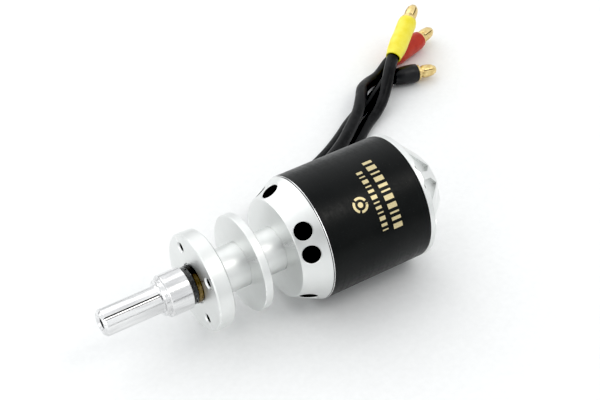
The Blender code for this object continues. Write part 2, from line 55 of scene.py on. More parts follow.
# The camera, in metres and degrees. Azimuth 0 looks along +Y.
CAMERA_AIM = Vector((0.0320, 0.0099, 0.0))
CAMERA_AZIMUTH = -32.21
CAMERA_ELEVATION = 42.36
CAMERA_DISTANCE = 0.3483
CAMERA_LENS = 96.1
CAMERA_SENSOR = 36.0

# Segments round the axis: large turned parts, small ones, and drilled holes.
FINE = 192
MEDIUM = 96
SMALL = 48

# Angles round the axis, in degrees from +Y towards +Z, and counts, as in the CAD model.
PATTERN_PHASE = 49.65
VENT_SPREAD = 12.35
LEAD_WINDOW_ANGLE = -33.0
ARM_PHASE = 125.0
ARMS = 3
SLOT_ANGLE = 122.0
GRUB_ANGLE = 305.0
TEETH = 9

# The set-screw holes, the bore on the shaft and the gap round the tube, in millimetres.
GRUB_X = -4.7
GRUB_HOLE_R = 1.25
GRUB_HOLE_DEPTH = 3.2
BORE_R = 2.1
FIT_GAP = 0.02

# Leads and connectors, in millimetres, as in the CAD model.
PIN_SHOWN = 4.4
PIN_R = 1.6
CUP_R = 1.75
SLEEVE_R = 2.4
LEAD_R = 1.5
LEAD_IN = 2.5
LEAD_X = 22.25
LEAD_PITCH = 3.4
WINDOW_X = 22.6
LEAD_ROW = {"yellow": -1, "red": 0, "black": 1}
CONNECTORS = {
    "yellow": ((83.6, 48.4, -6.9), (97.0, 58.9, -3.0)),
    "red": ((86.2, 52.6, -11.5), (101.7, 57.3, -11.2)),
    "black": ((82.4, 46.4, -11.3), (93.4, 43.8, -11.6)),
}
LEAD_ROUTES = {
    "yellow": [
        (23.4, 11.0, -11.0),
        (26.8, 13.4, -12.2),
        (31.0, 15.4, -12.45),
        (36.6, 17.8, -12.45),
        (43.5, 20.8, -12.45),
        (50.0, 24.2, -12.45),
        (56.5, 28.2, -12.45),
        (62.4, 32.2, -12.45),
        (67.4, 35.8, -12.45),
        (71.4, 38.0, -12.1),
        (74.6, 40.0, -11.0),
        (77.6, 42.5, -9.2),
        (80.5, 45.4, -7.6),
    ],
    "red": [
        (23.5, 12.9, -8.0),
        (26.8, 16.2, -9.2),
        (31.2, 18.8, -10.0),
        (37.0, 21.2, -10.3),
        (43.5, 23.6, -9.9),
        (50.4, 26.6, -9.6),
        (56.4, 30.0, -9.4),
        (61.6, 33.9, -9.2),
        (65.8, 37.4, -9.0),
        (69.2, 41.2, -9.0),
        (72.2, 45.0, -9.9),
        (75.8, 47.9, -11.5),
        (80.3, 49.9, -12.4),
    ],
    "black": [
        (23.4, 14.5, -5.2),
        (26.4, 18.2, -6.2),
        (30.6, 21.6, -7.8),
        (35.6, 24.4, -10.2),
        (41.4, 26.8, -12.2),
        (47.4, 29.0, -12.45),
        (53.4, 31.7, -12.45),
        (58.8, 34.8, -12.45),
        (63.8, 38.1, -12.45),
        (68.4, 40.6, -12.45),
        (73.2, 42.8, -12.45),
        (77.4, 44.9, -12.2),
    ],
}


# ---------------- measures from the frame


def extent(node):
    """A turned node's front, rear and outer radius, in millimetres."""
    low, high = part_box(node)
    return low.x / MM, high.x / MM, high.z / MM


def polar(x, radius, degrees):
    angle = math.radians(degrees)
    return Vector((x, radius * math.cos(angle), radius * math.sin(angle)))


# ---------------- materials


class Look:
    """A Principled material, with short ways to add nodes to it."""

    def __init__(self, name, roughness=0.5, metallic=0.0, **fixed):
        self.material = bpy.data.materials.new(name)
        self.material.use_nodes = True
        self.tree = self.material.node_tree
        self.shader = self.tree.nodes["Principled BSDF"]
        self.shader.inputs["Roughness"].default_value = roughness
        self.shader.inputs["Metallic"].default_value = metallic
        for key, value in fixed.items():
            self.shader.inputs[key.replace("_", " ")].default_value = value
        self.place = self.node("ShaderNodeTexCoord").outputs["Object"]

    def node(self, kind, inputs=(), **settings):
        item = self.tree.nodes.new(kind)
        for key, value in settings.items():
            setattr(item, key, value)
        for key, value in dict(inputs).items():
            self.put(item.inputs[key], value)
        return item

    def put(self, socket, value):
        if isinstance(value, bpy.types.NodeSocket):
            self.tree.links.new(value, socket)
        else:
            socket.default_value = value

    def set(self, name, value):
        self.put(self.shader.inputs[name], value)

    def math(self, operation, *values):
        item = self.node("ShaderNodeMath", dict(enumerate(values)), operation=operation)
        return item.outputs[0]

    def noise(self, scale, detail=3.0, place=None, rough=0.5):
        inputs = {"Scale": scale, "Detail": detail, "Roughness": rough}
        inputs["Vector"] = place or self.place
        return self.node("ShaderNodeTexNoise", inputs).outputs["Fac"]

    def stretched(self, scales):
        """Object coordinates with another scale along each axis."""
        inputs = {0: self.place, 1: scales}
        return self.node("ShaderNodeVectorMath", inputs, operation="MULTIPLY").outputs[0]

    def turned_place(self, wobble=0.02):
        """Coordinates that change along the axis and outwards, so noise runs in rings."""
        parts = self.node("ShaderNodeSeparateXYZ", {0: self.place})
        squares = [self.math("POWER", parts.outputs[i], 2.0) for i in (1, 2)]
        radius = self.math("SQRT", self.math("ADD", *squares))
        around = self.math("MULTIPLY", parts.outputs[2], wobble)
        inputs = {0: parts.outputs[0], 1: radius, 2: around}
        return self.node("ShaderNodeCombineXYZ", inputs).outputs[0]

    def spread(self, value, low, high, start=0.3, end=0.7):
        inputs = {"Value": value, "From Min": start, "From Max": end, "To Min": low, "To Max": high}
        return self.node("ShaderNodeMapRange", inputs).outputs[0]

    def blend(self, factor, first, second):
        item = self.node("ShaderNodeMix", data_type="RGBA")
        self.put(item.inputs["Factor"], factor)
        for socket, value in ((item.inputs[6], first), (item.inputs[7], second)):
            self.put(socket, (*value, 1.0) if isinstance(value, tuple) else value)
        return item.outputs[2]

    def edges(self, start=0.53, end=0.62):
        """1 on worn outer edges and 0 elsewhere."""
        point = self.node("ShaderNodeNewGeometry").outputs["Pointiness"]
        return self.spread(point, 0.0, 1.0, start, end)

    def bump(self, *layers):
        """Stacks (height, distance in mm) layers and gives them to the shader."""
        normal = None
        for height, distance in layers:
            inputs = {"Height": height, "Distance": distance * MM, "Strength": 1.0}
            if normal:
                inputs["Normal"] = normal
            normal = self.node("ShaderNodeBump", inputs).outputs[0]
        self.set("Normal", normal)


def blasted_aluminium():
    """Bead-blasted, clear-anodised aluminium with bright handled edges."""
    look = Look("blasted_aluminium", metallic=0.97)
    blotch = look.spread(look.noise(170.0), 0.0, 1.0)
    grain = look.noise(7000.0, 2.0)
    rings = look.noise(3500.0, 3.0, look.turned_place())
    wear = look.edges()
    base = look.blend(blotch, (0.775, 0.787, 0.777), (0.835, 0.847, 0.837))
    look.set("Base Color", look.blend(wear, base, (0.95, 0.95, 0.95)))
    fine = look.spread(grain, 0.34, 0.46)
    broad = look.spread(blotch, -0.03, 0.04, 0.0, 1.0)
    matte = look.math("ADD", fine, broad)
    look.set("Roughness", look.math("SUBTRACT", matte, look.math("MULTIPLY", wear, 0.14)))
    look.bump((rings, 0.002), (grain, 0.009))
    return look.material


def turned_aluminium():
    """Polished aluminium straight from the lathe, with fine tool rings and darker lengthwise
    streaks in its colour.
    """
    look = Look("turned_aluminium", metallic=1.0)
    rings = look.noise(2600.0, 4.0, look.turned_place())
    lengthwise_tone = look.noise(650.0, 3.0, look.stretched((0.12, 1.0, 1.0)))
    wear = look.edges()
    streak = look.spread(lengthwise_tone, 0.0, 1.0, 0.38, 0.62)
    look.set("Base Color", look.blend(streak, (0.66, 0.66, 0.665), (0.88, 0.88, 0.88)))
    rough = look.math("ADD", look.spread(rings, 0.10, 0.24), look.spread(lengthwise_tone, 0.0, 0.06))
    look.set("Roughness", look.math("ADD", rough, look.math("MULTIPLY", wear, 0.08)))
    look.bump((rings, 0.0025))
    return look.material


def steel(name, colour, low, high):
    """Ground or blackened steel with grinding rings and a few dull patches."""
    look = Look(name, metallic=1.0)
    rings = look.noise(4200.0, 3.0, look.turned_place())
    patch = look.spread(look.noise(600.0), 0.0, 1.0)
    dull = tuple(value * 0.78 for value in colour)
    look.set("Base Color", look.blend(patch, dull, colour))
    look.set("Roughness", look.spread(rings, low, high))
    look.bump((rings, 0.002))
    return look.material


def black_can():
    """Satin black coating over turned steel, slightly thin and polished on its edges."""
    look = Look("black_can", metallic=0.0, Specular_IOR_Level=0.20)
    peel = look.noise(1500.0, 2.0)
    rings = look.noise(1800.0, 4.0, look.turned_place(0.01))
    dust = look.spread(look.noise(5200.0, 1.0), 0.0, 1.0, 0.70, 0.80)
    wear = look.edges(0.54, 0.66)
    shade = look.spread(look.noise(90.0), 0.0, 1.0)
    base = look.blend(shade, (0.0065, 0.0070, 0.0072), (0.0105, 0.0110, 0.0108))
    base = look.blend(look.math("MULTIPLY", dust, 0.25), base, (0.10, 0.10, 0.10))
    look.set("Base Color", look.blend(look.math("MULTIPLY", wear, 0.5), base, (0.16, 0.16, 0.16)))
    look.set("Roughness", look.spread(look.math("ADD", peel, rings), 0.30, 0.42, 0.8, 1.2))
    look.bump((rings, 0.003), (peel, 0.005))
    return look.material


def gold_print():
    """The thin metallic ink of the marks on the can."""
    look = Look("gold_print", metallic=0.75)
    fleck = look.noise(9000.0, 2.0)
    tone = look.spread(fleck, 0.0, 1.0)
    look.set("Base Color", look.blend(tone, (0.50, 0.41, 0.21), (0.78, 0.69, 0.43)))
    look.set("Roughness", look.spread(fleck, 0.32, 0.50))
    look.bump((fleck, 0.004))
    return look.material


def brass_tone():
    """The yellow-brown ring next to the flange, a little tarnished. Its brass colour shows only on
    the side towards 168 degrees as a painted reflection, and is near black elsewhere.
    """
    look = Look("brass_ring", metallic=1.0)
    rings = look.noise(2200.0, 3.0, look.turned_place(0.3))
    patch = look.spread(look.noise(900.0, 3.0), 0.0, 1.0)
    brass = look.blend(patch, (0.10, 0.07, 0.03), (0.30, 0.22, 0.10))
    # The mask below paints a brass reflection on the side towards 168 degrees; the rest of the ring
    # stays near black.
    reflection_side = polar(0, 1, 168.0)
    inputs = {0: look.place, 1: reflection_side}
    side = look.node("ShaderNodeVectorMath", inputs, operation="DOT_PRODUCT").outputs["Value"]
    painted_reflection = look.spread(side, 0.0, 1.0, 1.8 * MM, 3.9 * MM)
    look.set("Base Color", look.blend(painted_reflection, (0.010, 0.009, 0.008), brass))
    look.set("Roughness", look.spread(rings, 0.18, 0.34))
    look.bump((rings, 0.004))
    return look.material


def black_gloss():
    """Polished black oxide on the spacer, with small bright nicks."""
    look = Look("black_gloss", metallic=0.2, Coat_Weight=0.6, Coat_Roughness=0.06)
    nick = look.spread(look.noise(3600.0, 2.0), 0.0, 1.0, 0.66, 0.72)
    look.set("Base Color", look.blend(nick, (0.006, 0.006, 0.006), (0.45, 0.45, 0.43)))
    look.set("Roughness", look.spread(nick, 0.12, 0.40, 0.0, 1.0))
    look.bump((look.noise(1800.0, 2.0), 0.006))
    return look.material


def painted_shade_inside():
    """Unblasted inner walls, painted near black as the shade deep in holes and inside the cover."""
    look = Look("painted_shade_inside", metallic=0.4)
    patch = look.spread(look.noise(700.0), 0.0, 1.0)
    look.set("Base Color", look.blend(patch, (0.015, 0.015, 0.015), (0.035, 0.034, 0.032)))
    look.set("Roughness", look.spread(look.noise(4000.0), 0.5, 0.7))
    look.bump((look.noise(2600.0), 0.01))
    return look.material


def laminations():
    """A stack of thin steel sheets under a thin grey lacquer."""
    look = Look("lamination_steel", metallic=0.8)
    place = look.node("ShaderNodeSeparateXYZ", {0: look.place}).outputs[0]
    sheet_pitch = 0.35 * MM
    saw = look.math("FRACT", look.math("DIVIDE", place, sheet_pitch))
    seam = look.spread(saw, 1.0, 0.0, 0.0, 0.22)
    tint = look.spread(look.noise(700.0), 0.0, 1.0)
    base = look.blend(tint, (0.15, 0.15, 0.155), (0.27, 0.27, 0.27))
    look.set("Base Color", look.blend(seam, base, (0.03, 0.03, 0.03)))
    look.set("Roughness", look.spread(tint, 0.34, 0.55, 0.0, 1.0))
    look.bump((look.math("SUBTRACT", 1.0, seam), 0.04), (look.noise(6000.0, 2.0), 0.004))
    return look.material


def enamelled_copper():
    """Copper wire under clear enamel, darker where the varnish pooled."""
    look = Look("copper_wire", metallic=1.0, Coat_Weight=0.7, Coat_Roughness=0.12)
    pool = look.spread(look.noise(900.0), 0.0, 1.0)
    look.set("Base Color", look.blend(pool, (0.30, 0.09, 0.03), (0.72, 0.30, 0.12)))
    look.set("Roughness", look.spread(look.noise(5000.0), 0.20, 0.36))
    look.bump((look.noise(4000.0), 0.004))
    return look.material


def slot_liner():
    """Green fibre board with a fine fleck."""
    look = Look("slot_liner", metallic=0.0)
    speck = look.noise(5200.0, 3.0)
    tone = look.spread(speck, 0.0, 1.0)
    look.set("Base Color", look.blend(tone, (0.02, 0.085, 0.05), (0.05, 0.17, 0.10)))
    look.set("Roughness", look.spread(speck, 0.42, 0.62))
    look.bump((speck, 0.01))
    return look.material


def nickel_magnet():
    """Nickel plate with dull patches."""
    look = Look("nickel_magnet", metallic=1.0)
    patch = look.spread(look.noise(800.0), 0.0, 1.0)
    look.set("Base Color", look.blend(patch, (0.50, 0.48, 0.44), (0.66, 0.64, 0.60)))
    look.set("Roughness", look.spread(look.noise(6000.0), 0.20, 0.38))
    look.bump((look.noise(3000.0), 0.004))
    return look.material


def silicone():
    """Matte black silicone with light rubbing marks and dust."""
    look = Look("silicone_lead", metallic=0.0, Specular_IOR_Level=0.20)
    rub = look.spread(look.noise(420.0, 4.0), 0.0, 1.0, 0.45, 0.75)
    dust = look.spread(look.noise(5200.0, 2.0), 0.0, 1.0, 0.66, 0.78)
    base = look.blend(rub, (0.0055, 0.0055, 0.0060), (0.016, 0.016, 0.017))
    look.set("Base Color", look.blend(look.math("MULTIPLY", dust, 0.3), base, (0.20, 0.20, 0.20)))
    look.set("Roughness", look.spread(rub, 0.36, 0.55, 0.0, 1.0))
    look.bump((look.noise(700.0, 2.0), 0.03), (look.noise(4500.0, 2.0), 0.008))
    return look.material


def gold_plate():
    """Gold plate over turned brass, tarnished in patches."""
    look = Look("gold_plate", metallic=1.0)
    rings = look.noise(3200.0, 3.0, look.turned_place())
    tarnish = look.spread(look.noise(900.0), 0.0, 1.0, 0.35, 0.75)
    look.set("Base Color", look.blend(tarnish, (0.88, 0.70, 0.34), (0.66, 0.47, 0.19)))
    look.set("Roughness", look.spread(rings, 0.26, 0.42))
    look.bump((rings, 0.004))
    return look.material


def shrink_sleeve(name, colour, worn, coat=0.15):
    """Heat-shrink sleeve: smooth plastic with faint lengthways draw marks."""
    look = Look(name, metallic=0.0, Coat_Weight=coat, Coat_Roughness=0.25, Specular_IOR_Level=0.35)
    patch = look.spread(look.noise(500.0), 0.0, 1.0)
    draw = look.noise(2600.0, 3.0, look.stretched((0.12, 1.0, 1.0)))
    look.set("Base Color", look.blend(patch, colour, worn))
    look.set("Roughness", look.spread(draw, 0.30, 0.46))
    look.bump((look.noise(600.0), 0.03), (draw, 0.008))
    return look.material


def floor_paper():
    """White studio paper with a barely visible tooth."""
    look = Look("studio_paper", metallic=0.0, Specular_IOR_Level=0.2)
    tooth = look.noise(900.0, 4.0)
    tone = look.spread(tooth, 0.0, 1.0)
    look.set("Base Color", look.blend(tone, (0.87, 0.875, 0.875), (0.90, 0.905, 0.905)))
    look.set("Roughness", look.spread(tooth, 0.55, 0.75))
    return look.material


def make_materials():
    return {
        "silver": blasted_aluminium(),
        "bright": turned_aluminium(),
        "steel": steel("ground_steel", (0.66, 0.66, 0.67), 0.10, 0.26),
        "dark_steel": steel("black_steel", (0.045, 0.042, 0.04), 0.22, 0.40),
        "can": black_can(),
        "print": gold_print(),
        "brass": brass_tone(),
        "gloss": black_gloss(),
        "inside": painted_shade_inside(),
        "core": laminations(),
        "copper": enamelled_copper(),
        "liner": slot_liner(),
        "magnet": nickel_magnet(),
        "lead": silicone(),
        "gold": gold_plate(),
        "yellow": shrink_sleeve("yellow_sleeve", (0.82, 0.70, 0.028), (0.89, 0.80, 0.095)),
        "red": shrink_sleeve("red_sleeve", (0.42, 0.016, 0.005), (0.52, 0.036, 0.012)),
        "black": shrink_sleeve("black_sleeve", (0.005, 0.005, 0.006), (0.012, 0.012, 0.013), 0.05),
        "paper": floor_paper(),
    }


# ---------------- modelling helpers


def rounded(outline, steps=4):
    """Rounds each corner that has a third value, by that radius.

    A point just beyond each end of an arc keeps the shading of a long flat side flat.
    """
    beyond = 0.08
    result = []
    for i, corner in enumerate(outline):
        here = Vector(corner[:2])
        if len(corner) == 2:
            result.append(here)
            continue
        to_last = Vector(outline[i - 1][:2]) - here
        to_next = Vector(outline[(i + 1) % len(outline)][:2]) - here
        before = to_last.normalized()
        after = to_next.normalized()
        half = before.angle(after) / 2
        reach = corner[2] / math.tan(half) + beyond
        if to_last.length > 3 * reach:
            result.append(here + before * reach)
        centre = here + (before + after).normalized() * corner[2] / math.sin(half)
        first = here + before * corner[2] / math.tan(half) - centre
        last = here + after * corner[2] / math.tan(half) - centre
        start = math.atan2(first.y, first.x)
        turn = (math.atan2(last.y, last.x) - start + math.pi) % math.tau - math.pi
        for step in range(steps + 1):
            angle = start + turn * step / steps
            result.append(centre + Vector((math.cos(angle), math.sin(angle))) * corner[2])
        if to_next.length > 3 * reach:
            result.append(here + after * reach)
    return result


def turned(outline, segments):
    """A solid of revolution about X from a closed outline of (x, radius[, rounding])."""
    bm = bmesh.new()
    verts = [bm.verts.new((p.x, 0.0, p.y)) for p in rounded(outline)]
    edges = [bm.edges.new((verts[i - 1], verts[i])) for i in range(len(verts))]
    bmesh.ops.spin(
        bm,
        geom=verts + edges,
        cent=(0, 0, 0),
        axis=(1, 0, 0),
        angle=math.tau,
        steps=segments,
        use_merge=True,
    )
    return bm


def finish_mesh(bm, name, sharp=32.0):
    bmesh.ops.remove_doubles(bm, verts=bm.verts, dist=1e-4)
    bmesh.ops.dissolve_degenerate(bm, dist=1e-5, edges=bm.edges)
    bmesh.ops.recalc_face_normals(bm, faces=bm.faces)
    bmesh.ops.scale(bm, vec=(MM, MM, MM), verts=bm.verts)
    mesh = bpy.data.meshes.new(name)
    bm.to_mesh(mesh)
    bm.free()
    mesh.shade_smooth()
    mesh.set_sharp_from_angle(angle=math.radians(sharp))
    return mesh


def link(item):
    bpy.context.scene.collection.objects.link(item)
    return item


def add_piece(name, data, mat, body, slot, *nodes):
    """Adds a piece that rides on a body and stands for the given CAD nodes."""
    piece = link(bpy.data.objects.new(name, data))
    data.materials.append(mat)
    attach(piece, body)
    if nodes:
        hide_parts(*nodes)
    return piece


def lathe(name, outline, mat, body, slot, *nodes, segments=FINE, cutters=None):
    mesh = finish_mesh(turned(outline, segments), name)
    if cutters:
        mesh = cut(mesh, cutters, name)
    return add_piece(name, mesh, mat, body, slot, *nodes)


def cut(mesh, bm, name):
    """Takes closed forms away from a mesh and returns the result."""
    block = link(bpy.data.objects.new(name + "_block", mesh))
    tool = link(bpy.data.objects.new(name + "_tool", finish_mesh(bm, name + "_tool")))
    change = block.modifiers.new("cut", "BOOLEAN")
    change.operation = "DIFFERENCE"
    change.solver = "EXACT"
    change.use_self = True
    change.object = tool
    graph = bpy.context.evaluated_depsgraph_get()
    result = bpy.data.meshes.new_from_object(block.evaluated_get(graph))
    bpy.data.objects.remove(block)
    bpy.data.objects.remove(tool)
    result.name = name
    result.shade_smooth()
    result.set_sharp_from_angle(angle=math.radians(32.0))
    return result


def prism(bm, low, high):
    """Adds the closed form between two matching polygons."""
    low = [bm.verts.new(p) for p in low]
    high = [bm.verts.new(p) for p in high]
    bm.faces.new(low)
    bm.faces.new(list(reversed(high)))
    for i in range(len(low)):
        bm.faces.new((low[i - 1], high[i - 1], high[i], low[i]))


def loft(bm, rings):
    """Adds a closed form through rings of points, capped at both ends."""
    loops = [[bm.verts.new(p) for p in ring] for ring in rings]
    bm.faces.new(loops[0])
    bm.faces.new(list(reversed(loops[-1])))
    for lower, upper in zip(loops, loops[1:]):
        for i in range(len(lower)):
            bm.faces.new((lower[i - 1], upper[i - 1], upper[i], lower[i]))


def drill(bm, mouth, outward, radius, depth, edge, segments=SMALL):
    """Adds a drill with a chamfered mouth, pointing into the part from a surface point."""
    outward = outward.normalized()
    turn = Vector((0, 0, 1)).rotation_difference(outward)
    above = 1.0
    rings = []
    for height, wide in ((-depth, radius), (-edge, radius), (above, radius + edge + above)):
        spots = []
        for i in range(segments):
            angle = math.tau * i / segments
            spot = Vector((wide * math.cos(angle), wide * math.sin(angle), height))
            spots.append(mouth + turn @ spot)
        rings.append(spots)
    loft(bm, rings)


# ---------------- camera, light and floor


def view_back(azimuth, elevation):
    """The direction from the aim towards a camera at this azimuth and elevation."""
    az = math.radians(azimuth)
    el = math.radians(elevation)
    return Vector((math.sin(az) * math.cos(el), -math.cos(az) * math.cos(el), math.sin(el)))


def make_camera():
    data = bpy.data.cameras.new("camera")
    data.lens = CAMERA_LENS
    data.sensor_width = CAMERA_SENSOR
    data.clip_start = 0.01
    data.clip_end = 20.0
    camera = link(bpy.data.objects.new("camera", data))
    back = view_back(CAMERA_AZIMUTH, CAMERA_ELEVATION)
    camera.location = CAMERA_AIM + back * CAMERA_DISTANCE
    camera.rotation_euler = (-back).to_track_quat("-Z", "Y").to_euler()
    bpy.context.scene.camera = camera


def soft_box(name, direction, distance, size, power, colour=(1.0, 1.0, 1.0)):
    """A square area light aimed at the motor from a direction."""
    data = bpy.data.lights.new(name, "AREA")
    data.size = size
    data.energy = power
    data.color = colour
    light = link(bpy.data.objects.new(name, data))
    way = Vector(direction).normalized()
    light.location = CAMERA_AIM + way * distance
    light.rotation_euler = (-way).to_track_quat("-Z", "Y").to_euler()


def make_studio(mats):
    size = 3.0
    floor_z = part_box("rotor_can")[0].z
    mesh = bpy.data.meshes.new("floor")
    corners = [(-size, -size), (size, -size), (size, size), (-size, size)]
    mesh.from_pydata([(x, y, floor_z) for x, y in corners], [], [(0, 1, 2, 3)])
    mesh.materials.append(mats["paper"])
    floor = link(bpy.data.objects.new("floor", mesh))
    soft_box("key_light", (-0.42, 1.10, 1.15), 1.8, 2.20, 11.0)
    soft_box("top_light", (0.42, -0.45, 0.95), 0.9, 0.30, 0.8, (1.0, 0.97, 0.92))
    soft_box("side_light", (-1.0, -0.30, 0.40), 1.0, 0.70, 1.5)
    make_surroundings()
    settings = bpy.context.scene.view_settings
    settings.view_transform = "Standard"
    settings.use_curve_mapping = True
    settings.curve_mapping.black_level = (0.016, 0.016, 0.016)
    settings.curve_mapping.update()


def make_surroundings():
    """White walls over a dim band at the table's edge, with the dark front opening of the tent."""
    world = bpy.data.worlds.new("studio")
    world.use_nodes = True
    tree = world.node_tree
    link_up = tree.links.new
    place = tree.nodes.new("ShaderNodeTexCoord").outputs["Generated"]
    sky = tree.nodes["Background"]
    sky.inputs["Color"].default_value = (0.975, 0.99, 1.0, 1.0)

    def ramp(value, start, end, low, high):
        """Maps a value from start..end to low..high."""
        item = tree.nodes.new("ShaderNodeMapRange")
        keys = ("From Min", "From Max", "To Min", "To Max")
        for key, number in zip(keys, (start, end, low, high)):
            item.inputs[key].default_value = number
        link_up(value, item.inputs["Value"])
        return item.outputs[0]

    parts = tree.nodes.new("ShaderNodeSeparateXYZ")
    link_up(place, parts.inputs[0])
    walls = ramp(parts.outputs[2], 0.03, 0.15, 0.20, 1.0)
    ahead = tree.nodes.new("ShaderNodeVectorMath")
    ahead.operation = "DOT_PRODUCT"
    ahead.inputs[1].default_value = view_back(-30.0, 40.0)
    link_up(place, ahead.inputs[0])
    opening = ramp(ahead.outputs["Value"], 0.90, 0.975, 1.0, 0.15)
    both = tree.nodes.new("ShaderNodeMath")
    both.operation = "MULTIPLY"
    link_up(walls, both.inputs[0])
    link_up(opening, both.inputs[1])
    link_up(both.outputs[0], sky.inputs["Strength"])
    bpy.context.scene.world = world


# ---------------- leads and connectors


def lead_axes():
    """The directions out of the lead window and along it."""
    return polar(0, 1, LEAD_WINDOW_ANGLE), polar(0, 1, LEAD_WINDOW_ANGLE + 90)


def lead_points(colour):
    """The whole lead, from inside the cover window into its connector."""
    out, along = lead_axes()
    row = along * LEAD_ROW[colour] * LEAD_PITCH
    window = [Vector((LEAD_X, 0, 0)) + out * r + row for r in (9.2, 12.0)]
    begin, end = (Vector(p) for p in CONNECTORS[colour])
    way = (end - begin).normalized()
    return window + [Vector(p) for p in LEAD_ROUTES[colour]] + [begin - way, begin + way * LEAD_IN]


def lead_curve(colour):
    """A round lead along one smooth curve through its points."""
    curve = bpy.data.curves.new("lead_wire_" + colour, "CURVE")
    curve.dimensions = "3D"
    curve.bevel_depth = LEAD_R * MM
    curve.bevel_resolution = 6
    curve.resolution_u = 12
    curve.use_fill_caps = True
    points = lead_points(colour)
    ends = [points[0] * 2 - points[1]] + points + [points[-1] * 2 - points[-2]]
    line = curve.splines.new("BEZIER")
    line.bezier_points.add(len(points) - 1)
    for i, knot in enumerate(line.bezier_points):
        before, here, after = ends[i : i + 3]
        reach = (after - before) / 6
        knot.handle_left_type = "FREE"
        knot.handle_right_type = "FREE"
        knot.co = here * MM
        knot.handle_left = (here - reach) * MM
        knot.handle_right = (here + reach) * MM
    return curve, line.calc_length()


def lay_along(piece, start, end):
    """Lays a piece drawn along +X from the origin so that it runs from start to end."""
    way = (Vector(end) - Vector(start)).normalized()
    piece.rotation_mode = "QUATERNION"
    piece.rotation_quaternion = Vector((1, 0, 0)).rotation_difference(way)
    piece.location = Vector(start) * MM


def bullet_mesh(length, name):
    """A gold bullet pin: solder cup, shoulder, sprung barrel with slits, rounded tip."""
    front = length - PIN_SHOWN
    cup_start = LEAD_IN + 0.3
    outline = [
        (cup_start, 0.0),
        (cup_start, CUP_R, 0.1),
        (front - 0.45, CUP_R, 0.05),
        (front - 0.45, PIN_R + 0.3, 0.12),
        (front + 0.05, PIN_R + 0.3, 0.12),
        (front + 0.05, PIN_R - 0.35, 0.05),
        (front + 0.5, PIN_R - 0.35, 0.1),
        (front + 1.0, PIN_R - 0.05, 0.5),
        (front + 2.1, PIN_R, 2.0),
        (length - 0.95, PIN_R - 0.20, 0.4),
        (length - 0.65, PIN_R - 0.42, 0.1),
        (length, PIN_R - 0.75, 0.25),
        (length, 0.42, 0.08),
        (length - 0.9, 0.30),
        (length - 0.9, 0.0),
    ]
    slits = bmesh.new()
    half = 0.11
    for quarter in range(2):
        turn = Matrix.Rotation(math.radians(45 + 90 * quarter), 4, "X")
        reach = PIN_R + 0.5
        corners = [(-reach, -half), (reach, -half), (reach, half), (-reach, half)]
        low = [turn @ Vector((front + 0.85, y, z)) for y, z in corners]
        high = [turn @ Vector((length - 1.05, y, z)) for y, z in corners]
        prism(slits, low, high)
    return cut(finish_mesh(turned(outline, MEDIUM), name), slits, name)


def sleeve_mesh(length, name, phase):
    """A shrunk sleeve: it hugs the lead, swells over the cup and rolls in at the pin."""
    end = length - PIN_SHOWN - 0.55
    ripple = 0.022
    outline = [
        (0.0, LEAD_R + 0.12),
        (0.0, LEAD_R + 0.42, 0.12),
        (1.3, SLEEVE_R - 0.22, 0.9),
        (2.4, SLEEVE_R - 0.06, 1.5),
        (4.2, SLEEVE_R, 2.0),
        (end - 1.2, SLEEVE_R, 1.0),
        (end, SLEEVE_R - 0.18, 0.22),
        (end, CUP_R + 0.12, 0.05),
        (1.6, CUP_R + 0.12),
    ]
    bm = turned(outline, MEDIUM)
    bmesh.ops.remove_doubles(bm, verts=bm.verts, dist=1e-4)
    long_edges = [e for e in bm.edges if abs(e.verts[0].co.x - e.verts[1].co.x) > 1.5]
    bmesh.ops.subdivide_edges(bm, edges=long_edges, cuts=10, use_grid_fill=True)
    for vert in bm.verts:
        radius = math.hypot(vert.co.y, vert.co.z)
        if radius < CUP_R + 0.2:
            continue
        angle = math.atan2(vert.co.z, vert.co.y)
        wave = math.sin(2 * angle + phase + 0.9 * vert.co.x)
        wave += 0.6 * math.sin(3 * angle - 1.7 * vert.co.x + 2 * phase)
        grow = 1.0 - ripple * (1.0 + 0.6 * wave)
        vert.co.y *= grow
        vert.co.z *= grow
    return finish_mesh(bm, name)


def build_leads(mats):
    for number, colour in enumerate(LEAD_ROUTES):
        begin, end = CONNECTORS[colour]
        length = (Vector(end) - Vector(begin)).length
        curve, measured = lead_curve(colour)
        wire = add_piece(curve.name, curve, mats["lead"], FIXED, "silicone_lead", "lead_" + colour)
        name = "heat_shrink_" + colour
        mesh = sleeve_mesh(length, name, 1.9 * number)
        sleeve = add_piece(name, mesh, mats[colour], FIXED, colour + "_sleeve", "sleeve_" + colour)
        lay_along(sleeve, begin, end)
        name = "bullet_pin_" + colour
        mesh = bullet_mesh(length, name)
        pin = add_piece(name, mesh, mats["gold"], FIXED, "gold_plate", "bullet_" + colour)
        lay_along(pin, begin, end)


# ---------------- fixed turned parts


